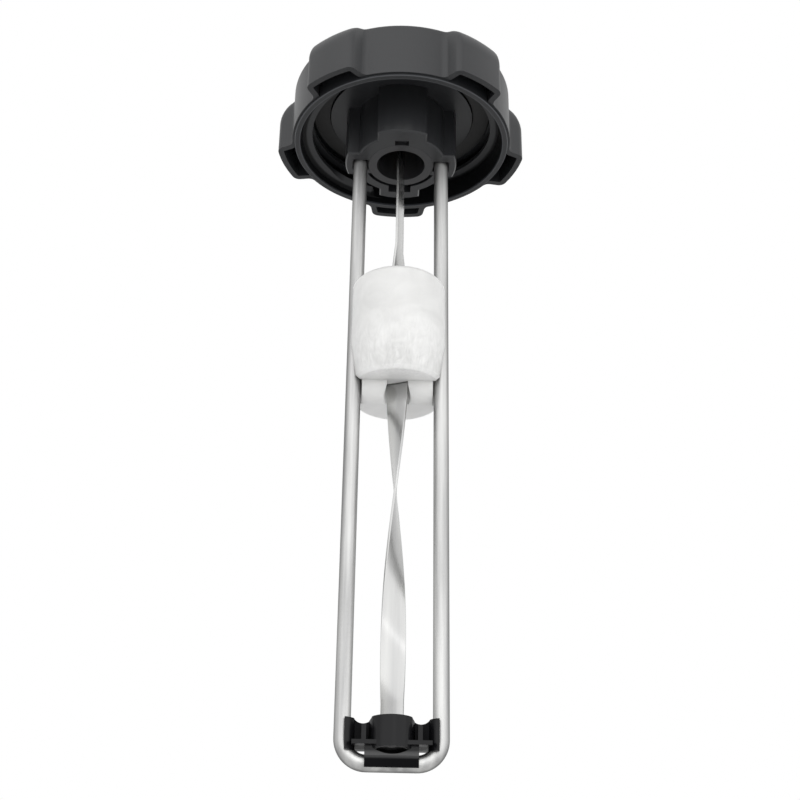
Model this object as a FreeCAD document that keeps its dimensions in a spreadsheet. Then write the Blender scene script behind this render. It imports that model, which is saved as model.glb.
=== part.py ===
import FreeCAD, Part
import Sketcher
import math
import os
import re

# A screw cap for a fuel tank neck, with a mechanical float gauge hanging below it.
# The origin is on the cap's axis, in the lower face of the neck gasket, with +Z up.
# Everything above the gasket is the cap and its dial; the wire frame, the float
# and the twisted ribbon hang down to the bottom of the tank.
# Sizes are millimetres, turns are degrees, and depths are counted down from the seat.
SIZES = {
    # Cap shell: five hollow drafted grips round a skirt
    "valley_radius": 38.1,
    "grip_reach": 5.7,
    "grip_top_reach": 2.2,
    "grip_count": 5,
    "grip_root_width": 21.2,
    "grip_crest_width": 18.6,
    "grip_wall": 2.0,
    "grip_rounding": 2.1,
    "grip_lift": 0.9,
    "skirt_depth": 12.5,
    "rim_radius": 37.4,
    "rim_step": 0.5,
    "rim_chamfer": 0.7,
    "root_radius": 34.2,
    "deck_height": 9.0,
    "deck_wall": 2.5,
    "deck_edge": 1.6,
    "crown_radius": 25.0,
    "crown_rise": 1.7,
    "crown_slope": 1.2,
    # Neck gasket
    "gasket_thickness": 2.0,
    "gasket_radius": 31.0,
    "gasket_groove": 0.5,
    # Gauge head: flange under the cap's ceiling, dial cup above it, stem below it
    "flange_radius": 25.0,
    "flange_proud": 0.7,
    "gasket_gap": 0.3,
    "cup_radius": 21.4,
    "cup_wall": 1.8,
    "cup_height": 6.4,
    "cup_floor": 2.6,
    "dial_ledge": 2.0,
    "cup_clearance": 0.15,
    "stem_radius": 15.8,
    "stem_depth": 20.8,
    "stem_edge": 0.5,
    "key_radius": 19.3,
    "near_key_width": 16.8,
    "far_key_width": 14.2,
    "ear_width": 12.0,
    "relief_gap": 1.1,
    "relief_height": 12.0,
    "far_pocket_width": 7.8,
    "far_pocket_reach": 15.3,
    "window_width": 4.7,
    "window_depth": 2.9,
    "window_reach": 13.7,
    "wire_notch": 5.6,
    "wire_notch_depth": 1.6,
    # Guide tube: bored insert that carries the upper bearing
    "tube_radius": 11.3,
    "tube_bore": 8.3,
    "tube_fit": 0.05,
    "tube_web": 1.8,
    "tab_width": 10.0,
    "tab_reach": 13.4,
    "tab_thickness": 0.9,
    # Wire frame
    "wire_diameter": 4.8,
    "leg_spacing": 28.0,
    "frame_depth": 229.2,
    "bend_radius": 6.9,
    "wire_end_height": 3.4,
    "wire_fit": 0.05,
    "retainer_radius": 3.4,
    "retainer_thickness": 0.5,
    # Dial stack
    "dial_thickness": 0.8,
    "dial_clearance": 0.2,
    "seal_thickness": 1.0,
    "lens_flange": 1.5,
    "lens_clearance": 0.1,
    "sight_radius": 19.8,
    "lens_rise": 1.6,
    "lens_bevel": 0.8,
    "pointer_length": 16.2,
    "pointer_tail": 6.0,
    "pointer_thickness": 0.6,
    "pointer_root_width": 3.0,
    "pointer_tip_width": 0.8,
    "pointer_lift": 0.7,
    "pointer_hub_radius": 2.4,
    "pointer_hub_height": 1.2,
    # Ribbon and its two journals
    "ribbon_width": 7.4,
    "ribbon_thickness": 0.8,
    "twist_rate": 1.84,
    "twist_start_depth": 55.0,
    "twist_end_depth": 209.5,
    "edge_on_depth": 143.5,
    "spindle_radius": 2.0,
    "spindle_tip_radius": 1.2,
    "spindle_head_radius": 4.6,
    "spindle_head_height": 5.0,
    "ribbon_grip": 4.0,
    "bush_radius": 3.4,
    "bush_flange_radius": 4.6,
    "bush_flange": 0.7,
    "running_fit": 0.05,
    "thrust_gap": 0.3,
    "pivot_radius": 4.2,
    "pivot_height": 2.8,
    "pivot_grip": 2.3,
    "pin_radius": 1.25,
    # Float
    "float_radius": 15.4,
    "float_top_depth": 70.9,
    "float_front_length": 36.1,
    "float_rear_length": 42.1,
    "float_straight": 23.6,
    "float_nose_radius": 13.2,
    "float_rear_radius": 14.6,
    "float_shoulder": 2.6,
    "float_edge": 1.0,
    "float_heel": 5.5,
    "float_play": 0.35,
    "ribbon_clearance": 0.6,
    "slot_plate": 2.0,
    "slot_clearance": 0.5,
    "float_stop_gap": 0.5,
    # Foot bracket, from the axis of the frame's bottom wire upwards
    "barrel_radius": 6.6,
    "barrel_bore": 4.9,
    "barrel_top": 12.4,
    "clip_radius": 3.7,
    "clip_width": 15.2,
    "clip_lip": 1.4,
    "clip_shoulder": 1.6,
    "clip_tip": 2.9,
    "foot_grip_radius": 3.7,
    "foot_grip_low": 3.2,
    "foot_grip_top": 12.2,
    "foot_half_width": 13.3,
    "ledge_height": 4.4,
    "ledge_thickness": 1.2,
    "ledge_reach": 5.0,
    "web_top": 12.0,
    "web_thickness": 2.2,
    "rib_offset": 7.9,
    "rib_thickness": 1.3,
    "rib_reach": 4.5,
    "rib_top": 10.0,
    "saddle_offset": 8.2,
    "saddle_radius": 3.0,
    "saddle_drop": 1.1,
    "bearing_height": 4.8,
    "bearing_thickness": 1.6,
    "scoop_radius": 9.6,
    "scoop_depth": 1.7,
}

# Places that several pieces share, written as expressions of the sizes above
RIM = "(-skirt_depth)"
GRIP_FOOT = "(grip_lift - skirt_depth)"
GRIP_RADIUS = "(valley_radius + grip_reach)"
GRIP_TOP_RADIUS = "(valley_radius + grip_top_reach)"
CEILING = "gasket_thickness"
SEAL_SEAT = "cup_height"
LENS_SEAT = "(cup_height + seal_thickness)"
LENS_TOP = "(cup_height + seal_thickness + lens_flange)"
CROWN_TOP = "(deck_height + crown_rise)"
STEM_END = "(-stem_depth)"
TUBE_OUTER = "(tube_radius + tube_fit)"
TUBE_TOP = "cup_floor"
DIAL_SEAT = "(cup_floor + dial_ledge - dial_thickness)"
WIRE_RADIUS = "(wire_diameter / 2)"
LEG_OFFSET = "(leg_spacing / 2)"
FRAME_AXIS = "(wire_diameter / 2 - frame_depth)"
FLOAT_TOP = "(-float_top_depth)"
FRONT_BOTTOM = "(-float_top_depth - float_front_length)"
REAR_BOTTOM = "(-float_top_depth - float_rear_length)"
FLOAT_GROOVE = "(wire_diameter / 2 + float_play)"
FLOAT_WAIST = "(leg_spacing / 2 - wire_diameter / 2 - float_play)"
BEARING_TOP = "(wire_diameter / 2 - frame_depth + bearing_height + bearing_thickness)"
PIVOT_FOOT = f"({BEARING_TOP} + running_fit)"
RIBBON_END = f"({PIVOT_FOOT} + pivot_height - pivot_grip)"
SPINDLE_TOP_FACE = "(cup_floor - tube_web - thrust_gap)"
RIBBON_TOP = f"({SPINDLE_TOP_FACE} - spindle_head_height + ribbon_grip)"
POINTER_SEAT = f"({DIAL_SEAT} + dial_thickness + pointer_lift)"

doc = FreeCAD.newDocument("FuelGaugeCap")
sheet = doc.addObject("Spreadsheet::Sheet", "Sizes")
for row, (alias, number) in enumerate(SIZES.items(), start=1):
    sheet.set(f"A{row}", alias)
    sheet.set(f"B{row}", str(number))
    sheet.setAlias(f"B{row}", alias)
doc.recompute()


def bound(text):
    """An expression with each size's name pointed at its cell in the sheet."""
    def pointed(word):
        return "Sizes." + word.group() if word.group() in SIZES else word.group()

    return re.sub(r"[a-z_]+", pointed, text)


def value(text):
    """The number that an expression of the sizes gives now."""
    return float(sheet.evalExpression(bound(text)))


def bind(item, **expressions):
    """Tie properties of an object to expressions of the sizes."""
    for name, text in expressions.items():
        item.setExpression(name, bound(text))


def place(item, x="0", y="0", z="0"):
    """Tie an object's place to expressions of the sizes."""
    for axis, text in (("x", x), ("y", y), ("z", z)):
        item.setExpression(f"Placement.Base.{axis}", bound(text))
    return item


def cylinder(name, radius, height, x="0", y="0", z="0"):
    item = doc.addObject("Part::Cylinder", name)
    bind(item, Radius=radius, Height=height)
    return place(item, x, y, z)


def bar(name, radius, length, y, z):
    """Cylinder lying along X, centred on the YZ plane."""
    item = doc.addObject("Part::Cylinder", name)
    bind(item, Radius=radius, Height=length)
    item.Placement.Rotation = FreeCAD.Rotation(FreeCAD.Vector(0, 1, 0), 90)
    return place(item, x=f"-({length}) / 2", y=y, z=z)


def crossbar(name, radius, length, x, z):
    """Cylinder lying along Y, centred on the XZ plane."""
    item = doc.addObject("Part::Cylinder", name)
    bind(item, Radius=radius, Height=length)
    item.Placement.Rotation = FreeCAD.Rotation(FreeCAD.Vector(1, 0, 0), 90)
    return place(item, x=x, y=f"({length}) / 2", z=z)


def cone(name, low_radius, high_radius, low, high):
    item = doc.addObject("Part::Cone", name)
    bind(item, Radius1=low_radius, Radius2=high_radius, Height=f"({high}) - ({low})")
    return place(item, z=low)


def box(name, x_from, x_to, y_from, y_to, z_from, z_to):
    item = doc.addObject("Part::Box", name)
    bind(item, Length=f"({x_to}) - ({x_from})", Width=f"({y_to}) - ({y_from})",
         Height=f"({z_to}) - ({z_from})")
    return place(item, x_from, y_from, z_from)


def joined(name, *pieces):
    item = doc.addObject("Part::Fuse" if len(pieces) == 2 else "Part::MultiFuse", name)
    if len(pieces) == 2:
        item.Base, item.Tool = pieces
    else:
        item.Shapes = list(pieces)
    item.Refine = True
    return item


def shared(name, *pieces):
    item = doc.addObject("Part::MultiCommon", name)
    item.Shapes = list(pieces)
    return item


def cut(name, base, *tools):
    item = doc.addObject("Part::Cut", name)
    item.Base = base
    item.Tool = tools[0] if len(tools) == 1 else joined(name + "_tools", *tools)
    item.Refine = True
    return item


def plane(body, role):
    return next(item for item in body.Origin.OriginFeatures if item.Role == role)


def outline(body, name, role, corners, lift="0"):
    """Closed sketch through corners (x, y) or (x, y, radius).

    A radius turns the side that leaves the corner into an arc: positive runs
    anticlockwise and negative runs clockwise.
    """
    sketch = body.newObject("Sketcher::SketchObject", name)
    sketch.AttachmentSupport = (plane(body, role), [""])
    sketch.MapMode = "FlatFace"
    bind(sketch, **{"AttachmentOffset.Base.z": lift})
    points = [FreeCAD.Vector(value(corner[0]), value(corner[1]), 0) for corner in corners]
    ends = []
    for index, corner in enumerate(corners):
        start, end = points[index], points[(index + 1) % len(points)]
        if len(corner) == 2:
            sketch.addGeometry(Part.LineSegment(start, end))
            ends.append((1, 2))
            continue
        radius = value(corner[2])
        first, last = (start, end) if radius > 0 else (end, start)
        chord = last - first
        left = FreeCAD.Vector(-chord.y, chord.x, 0).normalize()
        centre = (first + last) / 2 + left * math.sqrt(radius ** 2 - (chord.Length / 2) ** 2)
        angles = [math.atan2(point.y - centre.y, point.x - centre.x) for point in (first, last)]
        circle = Part.Circle(centre, FreeCAD.Vector(0, 0, 1), abs(radius))
        sketch.addGeometry(Part.ArcOfCircle(circle, *angles))
        ends.append((1, 2) if radius > 0 else (2, 1))
    for index, corner in enumerate(corners):
        following = (index + 1) % len(corners)
        sketch.addConstraint(Sketcher.Constraint(
            "Coincident", index, ends[index][1], following, ends[following][0]))
    for index, corner in enumerate(corners):
        for kind, text in (("DistanceX", corner[0]), ("DistanceY", corner[1])):
            number = value(text)
            made = sketch.addConstraint(Sketcher.Constraint(kind, -1, 1, index, ends[index][0], number))
            if re.search("[a-z]", text):
                sketch.setExpression(f"Constraints[{made}]", bound(text))
        if len(corner) == 3:
            made = sketch.addConstraint(Sketcher.Constraint("Radius", index, abs(value(corner[2]))))
            sketch.setExpression(f"Constraints[{made}]", bound(f"abs({corner[2]})"))
    return sketch


def turned(name, corners):
    """Solid of revolution about Z from an outline of (radius, height) corners."""
    body = doc.addObject("PartDesign::Body", name)
    sketch = outline(body, name + "_profile", "XZ_Plane", corners)
    solid = body.newObject("PartDesign::Revolution", name + "_turned")
    solid.Profile = sketch
    solid.ReferenceAxis = (sketch, ["V_Axis"])
    solid.Angle = 360
    doc.recompute()
    return body


def padded(body, name, sketch, length, feature="Pad"):
    """Pad or Pocket of a sketch by a bound length."""
    solid = body.newObject("PartDesign::" + feature, name)
    solid.Profile = sketch
    bind(solid, Length=length)
    return solid


def ringed(body, name, features, count):
    """Polar pattern of some features about the body's Z axis."""
    pattern = body.newObject("PartDesign::PolarPattern", name)
    pattern.Originals = features
    pattern.Axis = (plane(body, "Z_Axis"), [""])
    pattern.Angle = 360
    bind(pattern, Occurrences=count)
    body.Tip = pattern
    doc.recompute()
    return pattern


def softened(name, base, radius, chosen, kind="Fillet"):
    """Fillet or Chamfer of the edges that pass a test, all to one size."""
    doc.recompute()
    item = doc.addObject("Part::" + kind, name)
    item.Base = base
    size = value(radius)
    item.Edges = [(number, size, size) for number, edge in enumerate(base.Shape.Edges, start=1)
                  if chosen(edge)]
    doc.recompute()
    return item


def middle(edge):
    return edge.valueAt((edge.FirstParameter + edge.LastParameter) / 2)


def reach(point):
    """Distance of a point from the cap's axis."""
    return math.hypot(point.x, point.y)


def five_grips(name, root, crest, inner, outer, low, high):
    """Ring of upright blocks on the skirt, each an outline between two arcs."""
    crest_height = f"sqrt(({outer})^2 - ({crest} / 2)^2)"
    root_height = f"sqrt(({inner})^2 - ({root} / 2)^2)"
    body = doc.addObject("PartDesign::Body", name)
    sketch = outline(body, name + "_outline", "XY_Plane", [
        (f"-{root} / 2", root_height, f"-({inner})"), (f"{root} / 2", root_height),
        (f"{crest} / 2", crest_height, outer), (f"-{crest} / 2", crest_height)], low)
    ringed(body, name + "_ring", [padded(body, name + "_block", sketch, f"{high} - ({low})")], "grip_count")
    return body


def make_cap_shell():
    """Moulded cap: turned skirt, deck and crown, and five hollow grips that draw in upwards."""
    cup_hole = "(cup_radius + cup_clearance)"
    core = turned("cap_core", [
        (cup_hole, CEILING), (cup_hole, LENS_TOP), ("sight_radius", LENS_TOP),
        ("sight_radius + crown_slope / 2", CROWN_TOP), ("crown_radius - crown_slope", CROWN_TOP),
        ("crown_radius", "deck_height"), ("valley_radius - deck_edge", "deck_height"),
        ("valley_radius", "deck_height - deck_edge"),
        ("valley_radius", f"{RIM} + rim_step"), ("rim_radius", f"{RIM} + rim_step"), ("rim_radius", RIM),
        ("root_radius + rim_chamfer", RIM), ("root_radius", f"{RIM} + rim_chamfer"),
        ("root_radius", CEILING)])
    hollow_top = "(deck_height - deck_wall)"
    share = f"(({hollow_top} - {GRIP_FOOT}) / (deck_height - {GRIP_FOOT}))"
    blocks = shared(
        "grip_blocks",
        five_grips("grip", "grip_root_width", "grip_crest_width", "(valley_radius - grip_wall / 2)",
                   GRIP_RADIUS, GRIP_FOOT, "deck_height"),
        cone("grip_draft", GRIP_RADIUS, GRIP_TOP_RADIUS, GRIP_FOOT, "deck_height"))
    doc.recompute()
    deck, valley = value("deck_height"), value("valley_radius")
    rounded = softened("grip_corners", blocks, "grip_rounding",
                       lambda edge: edge.BoundBox.ZLength > deck and reach(middle(edge)) > valley)
    inner, outer = f"({GRIP_TOP_RADIUS} - 2 * deck_edge)", f"({GRIP_RADIUS} + deck_edge)"
    bevel = turned("deck_bevel", [
        (inner, "deck_height + deck_edge"), (outer, "deck_height + deck_edge"),
        (outer, f"deck_height + deck_edge - ({outer} - {inner})")])
    hollows = shared(
        "hollows",
        five_grips("hollow", "(grip_root_width - 2 * grip_wall)", "(grip_crest_width - 2 * grip_wall)",
                   "rim_radius", f"({GRIP_RADIUS} - grip_wall)", GRIP_FOOT, hollow_top),
        cone("hollow_draft", f"{GRIP_RADIUS} - grip_wall",
             f"{GRIP_RADIUS} - grip_wall - (grip_reach - grip_top_reach) * {share}", GRIP_FOOT, hollow_top))
    return cut("cap_shell_body", joined("cap_blank", core, cut("grips", rounded, bevel)), hollows)


def make_neck_gasket():
    """Flat rubber ring round the flange, with two shallow sealing grooves."""
    inner = "(flange_radius + gasket_gap)"
    third = f"((gasket_radius - {inner}) / 3)"
    return turned("gasket_body", [
        (inner, "0"), ("gasket_radius", "0"), ("gasket_radius", CEILING),
        (f"{inner} + 2 * {third}", CEILING), (f"{inner} + 1.5 * {third}", f"{CEILING} - gasket_groove"),
        (f"{inner} + {third}", CEILING), (inner, CEILING)])


def make_gauge_head():
    """Moulded head: flange, dial cup, and a stem with keys and ears for the wires."""
    keys = shared("stem_keys", cylinder("key_round", "key_radius", "stem_depth", z=STEM_END), joined(
        "key_bars",
        box("near_key", "-near_key_width / 2", "near_key_width / 2", "-key_radius", "0", STEM_END, "0"),
        box("far_key", "-far_key_width / 2", "far_key_width / 2", "0", "key_radius", STEM_END, "0"),
        box("ears", "-key_radius", "key_radius", "-ear_width / 2", "ear_width / 2", STEM_END, "0")))
    stem = joined("stem", keys, cylinder("stem_round", "stem_radius", "stem_depth", z=STEM_END))
    low = value(STEM_END) + 0.01
    rounded_stem = softened("stem_softened", stem, "stem_edge", lambda edge: edge.BoundBox.ZMax < low,
                            "Chamfer")
    upper = "cup_height + flange_proud"
    solid = joined(
        "head_solid", rounded_stem,
        cylinder("flange", "flange_radius", f"{CEILING} + flange_proud", z="-flange_proud"),
        cylinder("cup", "cup_radius", upper, z="-flange_proud"))
    relief_top = f"{STEM_END} + relief_height"
    relief = shared(
        "far_relief", cylinder("relief_round", f"{TUBE_OUTER} + relief_gap", "relief_height", z=STEM_END),
        box("relief_half", "-key_radius", "key_radius", "wire_diameter", "key_radius", STEM_END, relief_top))
    notch = "wire_notch / 2"
    wire_cuts = []
    for side, word in ((-1, "left"), (1, "right")):
        leg = f"{side} * {LEG_OFFSET}"
        wire_cuts += [
            cylinder(f"{word}_wire_hole", f"{WIRE_RADIUS} + wire_fit", "stem_depth + cup_floor",
                     x=leg, z=STEM_END),
            box(f"{word}_wire_notch", f"{leg} - {notch}", f"{leg} + {notch}", f"-({notch})", notch,
                STEM_END, f"{STEM_END} + wire_notch_depth")]
    return cut(
        "head_body", solid,
        cylinder("tube_hole", TUBE_OUTER, "stem_depth + cup_height", z=STEM_END), relief,
        box("far_pocket", "-far_pocket_width / 2", "far_pocket_width / 2", "0", "far_pocket_reach",
            STEM_END, relief_top),
        box("latch_window", "-window_width / 2", "window_width / 2", "-window_reach",
            "window_depth - window_reach", STEM_END, relief_top),
        cylinder("cup_well", "cup_radius - cup_wall", "cup_height", z=DIAL_SEAT),
        cylinder("ledge_well", "cup_radius - 2 * cup_wall", "cup_height", z="cup_floor"), *wire_cuts)


def make_guide_tube():
    """Bored insert: it hangs by two tabs in the cup and latches in the near key."""
    tab_top = f"{TUBE_TOP} + tab_thickness"
    tabs = shared(
        "tube_tabs", cylinder("tab_round", "tab_reach", "tab_thickness", z=TUBE_TOP),
        box("tab_bar", "-tab_width / 2", "tab_width / 2", "-tab_reach", "tab_reach", TUBE_TOP, tab_top))
    tongue = box(
        "latch_tongue", "-window_width / 2 + relief_gap / 2", "window_width / 2 - relief_gap / 2",
        "-tube_radius - 2 * relief_gap / 3", "0", f"{STEM_END} + wire_notch_depth",
        f"{STEM_END} + relief_height / 2")
    barrel = cylinder("tube_round", "tube_radius", f"stem_depth + {TUBE_TOP}", z=STEM_END)
    solid = joined("tube_solid", barrel, tabs, tongue)
    return cut(
        "tube_body", solid,
        cylinder("tube_way", "tube_bore", f"stem_depth + {TUBE_TOP} - tube_web", z=STEM_END),
        cylinder("bush_hole", "bush_radius", "tube_web + 2 * tab_thickness", z=f"{TUBE_TOP} - tube_web"),
        cylinder("tab_middle", "tube_radius - cup_wall", "tab_thickness", z=TUBE_TOP))


def make_spindle_bush():
    """Flanged bush in the tube's closed top."""
    return turned("bush_body", [
        ("spindle_radius + running_fit", f"{TUBE_TOP} - tube_web"), ("bush_radius", f"{TUBE_TOP} - tube_web"),
        ("bush_radius", TUBE_TOP), ("bush_flange_radius", TUBE_TOP),
        ("bush_flange_radius", f"{TUBE_TOP} + bush_flange"),
        ("spindle_radius + running_fit", f"{TUBE_TOP} + bush_flange")])


def ribbon_turn(depth):
    """Direction of the ribbon's width at a depth, in degrees from +X."""
    return -90 + value("twist_rate") * (value("edge_on_depth") - depth)


def strip(width, thickness, low, high, turn):
    """Straight flat strip between two heights, its width turned from +X."""
    solid = Part.makeBox(width, thickness, high - low, FreeCAD.Vector(-width / 2, -thickness / 2, low))
    solid.rotate(FreeCAD.Vector(), FreeCAD.Vector(0, 0, 1), turn)
    return solid


def feature(name, shape):
    item = doc.addObject("Part::Feature", name)
    item.Shape = shape
    return item


def make_spindle():
    """Turned journal that grips the ribbon's top and carries the pointer."""
    foot = f"{SPINDLE_TOP_FACE} - spindle_head_height"
    solid = turned("spindle_blank", [
        ("0", foot), ("spindle_head_radius", foot), ("spindle_head_radius", SPINDLE_TOP_FACE),
        ("spindle_radius", SPINDLE_TOP_FACE), ("spindle_radius", POINTER_SEAT),
        ("spindle_tip_radius", POINTER_SEAT), ("spindle_tip_radius", f"{POINTER_SEAT} + pointer_hub_height"),
        ("0", f"{POINTER_SEAT} + pointer_hub_height")])
    slot = strip(value("3 * spindle_head_radius"), value("ribbon_thickness"), value(foot), value(RIBBON_TOP),
                 ribbon_turn(value("twist_start_depth")))
    return cut("spindle_body", solid, feature("spindle_slot", slot))


def make_pointer():
    """Flat needle on a round hub, pressed on the spindle's tip."""
    body = doc.addObject("PartDesign::Body", "pointer_body")
    needle = outline(body, "needle_outline", "XY_Plane", [
        ("-pointer_tail", "-pointer_root_width / 2"), ("0", "-pointer_root_width / 2"),
        ("pointer_length", "-pointer_tip_width / 2"), ("pointer_length", "pointer_tip_width / 2"),
        ("0", "pointer_root_width / 2"), ("-pointer_tail", "pointer_root_width / 2")], POINTER_SEAT)
    body.Tip = padded(body, "needle", needle, "pointer_thickness")
    doc.recompute()
    hub = cylinder("pointer_hub", "pointer_hub_radius", "pointer_hub_height", z=POINTER_SEAT)
    return cut("pointer_blank", joined("pointer_solid", body, hub),
               cylinder("pointer_hole", "spindle_tip_radius", "pointer_hub_height", z=POINTER_SEAT))


def make_dial_plate():
    """Thin printed disc on the cup's ledge, notched at the near side."""
    disc = turned("dial_disc", [
        ("spindle_radius + thrust_gap", DIAL_SEAT), ("cup_radius - cup_wall - dial_clearance", DIAL_SEAT),
        ("cup_radius - cup_wall - dial_clearance", f"{DIAL_SEAT} + dial_thickness"),
        ("spindle_radius + thrust_gap", f"{DIAL_SEAT} + dial_thickness")])
    return cut("dial_body", disc, box(
        "dial_notch", "-wire_diameter / 4", "wire_diameter / 4", "-cup_radius", "2 * cup_wall - cup_radius",
        DIAL_SEAT, f"{DIAL_SEAT} + dial_thickness"))


def make_lens_seal():
    """Rubber ring between the cup's rim and the lens."""
    inner = "(cup_radius - cup_wall + dial_clearance)"
    bevel = "seal_thickness / 4"
    return turned("seal_body", [
        (inner, SEAL_SEAT), ("cup_radius", SEAL_SEAT), ("cup_radius", LENS_SEAT), (inner, LENS_SEAT),
        (f"{inner} - {bevel}", f"{LENS_SEAT} - 2 * {bevel}")])


def make_lens():
    """Clear window: a flange held under the crown's lip and a bevelled face in its hole."""
    edge = "(sight_radius - lens_clearance)"
    return turned("lens_body", [
        ("0", LENS_SEAT), ("cup_radius", LENS_SEAT), ("cup_radius", LENS_TOP), (edge, LENS_TOP),
        (edge, f"{LENS_TOP} + lens_rise - lens_bevel"), (f"{edge} - lens_bevel", f"{LENS_TOP} + lens_rise"),
        ("0", f"{LENS_TOP} + lens_rise")])


def frame_wire(name, radius, top):
    """U-shaped round wire, swept along one path of legs, bends and bottom."""
    body = doc.addObject("PartDesign::Body", name)
    path = body.newObject("Sketcher::SketchObject", name + "_path")
    path.AttachmentSupport = (plane(body, "XZ_Plane"), [""])
    path.MapMode = "FlatFace"
    leg, bottom, bend, end = LEG_OFFSET, FRAME_AXIS, "bend_radius", top
    corners = [(f"-{leg}", end), (f"-{leg}", f"{bottom} + {bend}"), (f"-{leg} + {bend}", bottom),
               (f"{leg} - {bend}", bottom), (leg, f"{bottom} + {bend}"), (leg, end)]
    points = [FreeCAD.Vector(value(x), value(y), 0) for x, y in corners]
    size = value(bend)
    for index, (start, finish) in enumerate(zip(points, points[1:])):
        if index in (1, 3):
            middle_x = start.x + size if index == 1 else finish.x - size
            centre = FreeCAD.Vector(middle_x, value(f"{bottom} + {bend}"), 0)
            sweep = (math.pi, 1.5 * math.pi) if index == 1 else (1.5 * math.pi, 2 * math.pi)
            path.addGeometry(Part.ArcOfCircle(Part.Circle(centre, FreeCAD.Vector(0, 0, 1), size), *sweep))
        else:
            path.addGeometry(Part.LineSegment(start, finish))
    for index in range(4):
        path.addConstraint(Sketcher.Constraint("Coincident", index, 2, index + 1, 1))
    for index, (x, y) in enumerate(corners):
        geometry, end_point = (index, 1) if index < 5 else (4, 2)
        for kind, text in (("DistanceX", x), ("DistanceY", y)):
            made = path.addConstraint(Sketcher.Constraint(kind, -1, 1, geometry, end_point, value(text)))
            path.setExpression(f"Constraints[{made}]", bound(text))
    for index in (1, 3):
        made = path.addConstraint(Sketcher.Constraint("Radius", index, size))
        path.setExpression(f"Constraints[{made}]", bound(bend))
    section = body.newObject("Sketcher::SketchObject", name + "_section")
    section.AttachmentSupport = (plane(body, "XY_Plane"), [""])
    section.MapMode = "FlatFace"
    bind(section, **{"AttachmentOffset.Base.z": end})
    centre = FreeCAD.Vector(value(f"-{leg}"), 0, 0)
    section.addGeometry(Part.Circle(centre, FreeCAD.Vector(0, 0, 1), value(radius)))
    for constraint, text in (
            (Sketcher.Constraint("DistanceX", -1, 1, 0, 3, centre.x), f"-{leg}"),
            (Sketcher.Constraint("Radius", 0, value(radius)), radius)):
        made = section.addConstraint(constraint)
        section.setExpression(f"Constraints[{made}]", bound(text))
    section.addConstraint(Sketcher.Constraint("PointOnObject", 0, 3, -1))
    pipe = body.newObject("PartDesign::AdditivePipe", name + "_pipe")
    pipe.Profile = section
    pipe.Spine = (path, [f"Edge{number}" for number in range(1, 6)])
    body.Tip = pipe
    doc.recompute()
    return body


def make_wire_retainers():
    """Two toothed push-on rings that hold the frame's ends in the cup."""
    rings = []
    for side, word in ((-1, "left"), (1, "right")):
        leg = f"{side} * {LEG_OFFSET}"
        rings.append(cut(
            f"{word}_retainer",
            cylinder(f"{word}_ring", "retainer_radius", "retainer_thickness", x=leg, z="cup_floor"),
            cylinder(f"{word}_ring_hole", WIRE_RADIUS, "retainer_thickness", x=leg, z="cup_floor"),
            box(f"{word}_ring_slit", f"{leg} - {WIRE_RADIUS} - thrust_gap",
                f"{leg} + {WIRE_RADIUS} + thrust_gap", "-thrust_gap", "thrust_gap", "cup_floor",
                "cup_floor + retainer_thickness")))
    doc.recompute()
    return feature("retainer_body", Part.makeCompound([ring.Shape for ring in rings]))


def make_twisted_ribbon():
    """Flat metal strip: straight top, one long even twist, straight end in the pivot."""
    width, thickness = value("ribbon_width"), value("ribbon_thickness")
    low, high = -value("twist_end_depth"), -value("twist_start_depth")
    low_turn, high_turn = ribbon_turn(-low), ribbon_turn(-high)
    spine = Part.Wire([Part.makeLine(FreeCAD.Vector(0, 0, low), FreeCAD.Vector(0, 0, high))])
    guide = Part.makeHelix(360 / value("twist_rate"), high - low, width / 2)
    guide.translate(FreeCAD.Vector(0, 0, low))
    guide.rotate(FreeCAD.Vector(), FreeCAD.Vector(0, 0, 1), low_turn)
    section = Part.makePolygon([FreeCAD.Vector(x * width / 2, y * thickness / 2, low)
                                for x, y in ((-1, -1), (1, -1), (1, 1), (-1, 1), (-1, -1))])
    section.rotate(FreeCAD.Vector(), FreeCAD.Vector(0, 0, 1), low_turn)
    sweep = Part.BRepOffsetAPI.MakePipeShell(spine)
    sweep.setAuxiliarySpine(Part.Wire(guide.Edges), False, 0)
    sweep.add(section)
    sweep.build()
    sweep.makeSolid()
    top = strip(width, thickness, high, value(RIBBON_TOP), high_turn)
    end = strip(width, thickness, value(RIBBON_END), low, low_turn)
    return feature("ribbon_body", sweep.shape().fuse([top, end]).removeSplitter())


def make_lower_pivot():
    """Small journal on the ribbon's end; its pin turns in the foot's bearing."""
    pin_end = f"{BEARING_TOP} - bearing_thickness"
    solid = turned("pivot_blank", [
        ("0", pin_end), ("pin_radius", pin_end), ("pin_radius", PIVOT_FOOT), ("pivot_radius", PIVOT_FOOT),
        ("pivot_radius", f"{PIVOT_FOOT} + pivot_height"), ("0", f"{PIVOT_FOOT} + pivot_height")])
    slot = strip(value("3 * pivot_radius"), value("ribbon_thickness"), value(RIBBON_END),
                 value(f"{PIVOT_FOOT} + pivot_height"), ribbon_turn(value("twist_end_depth")))
    return cut("pivot_body", solid, feature("pivot_slot", slot))


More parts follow.
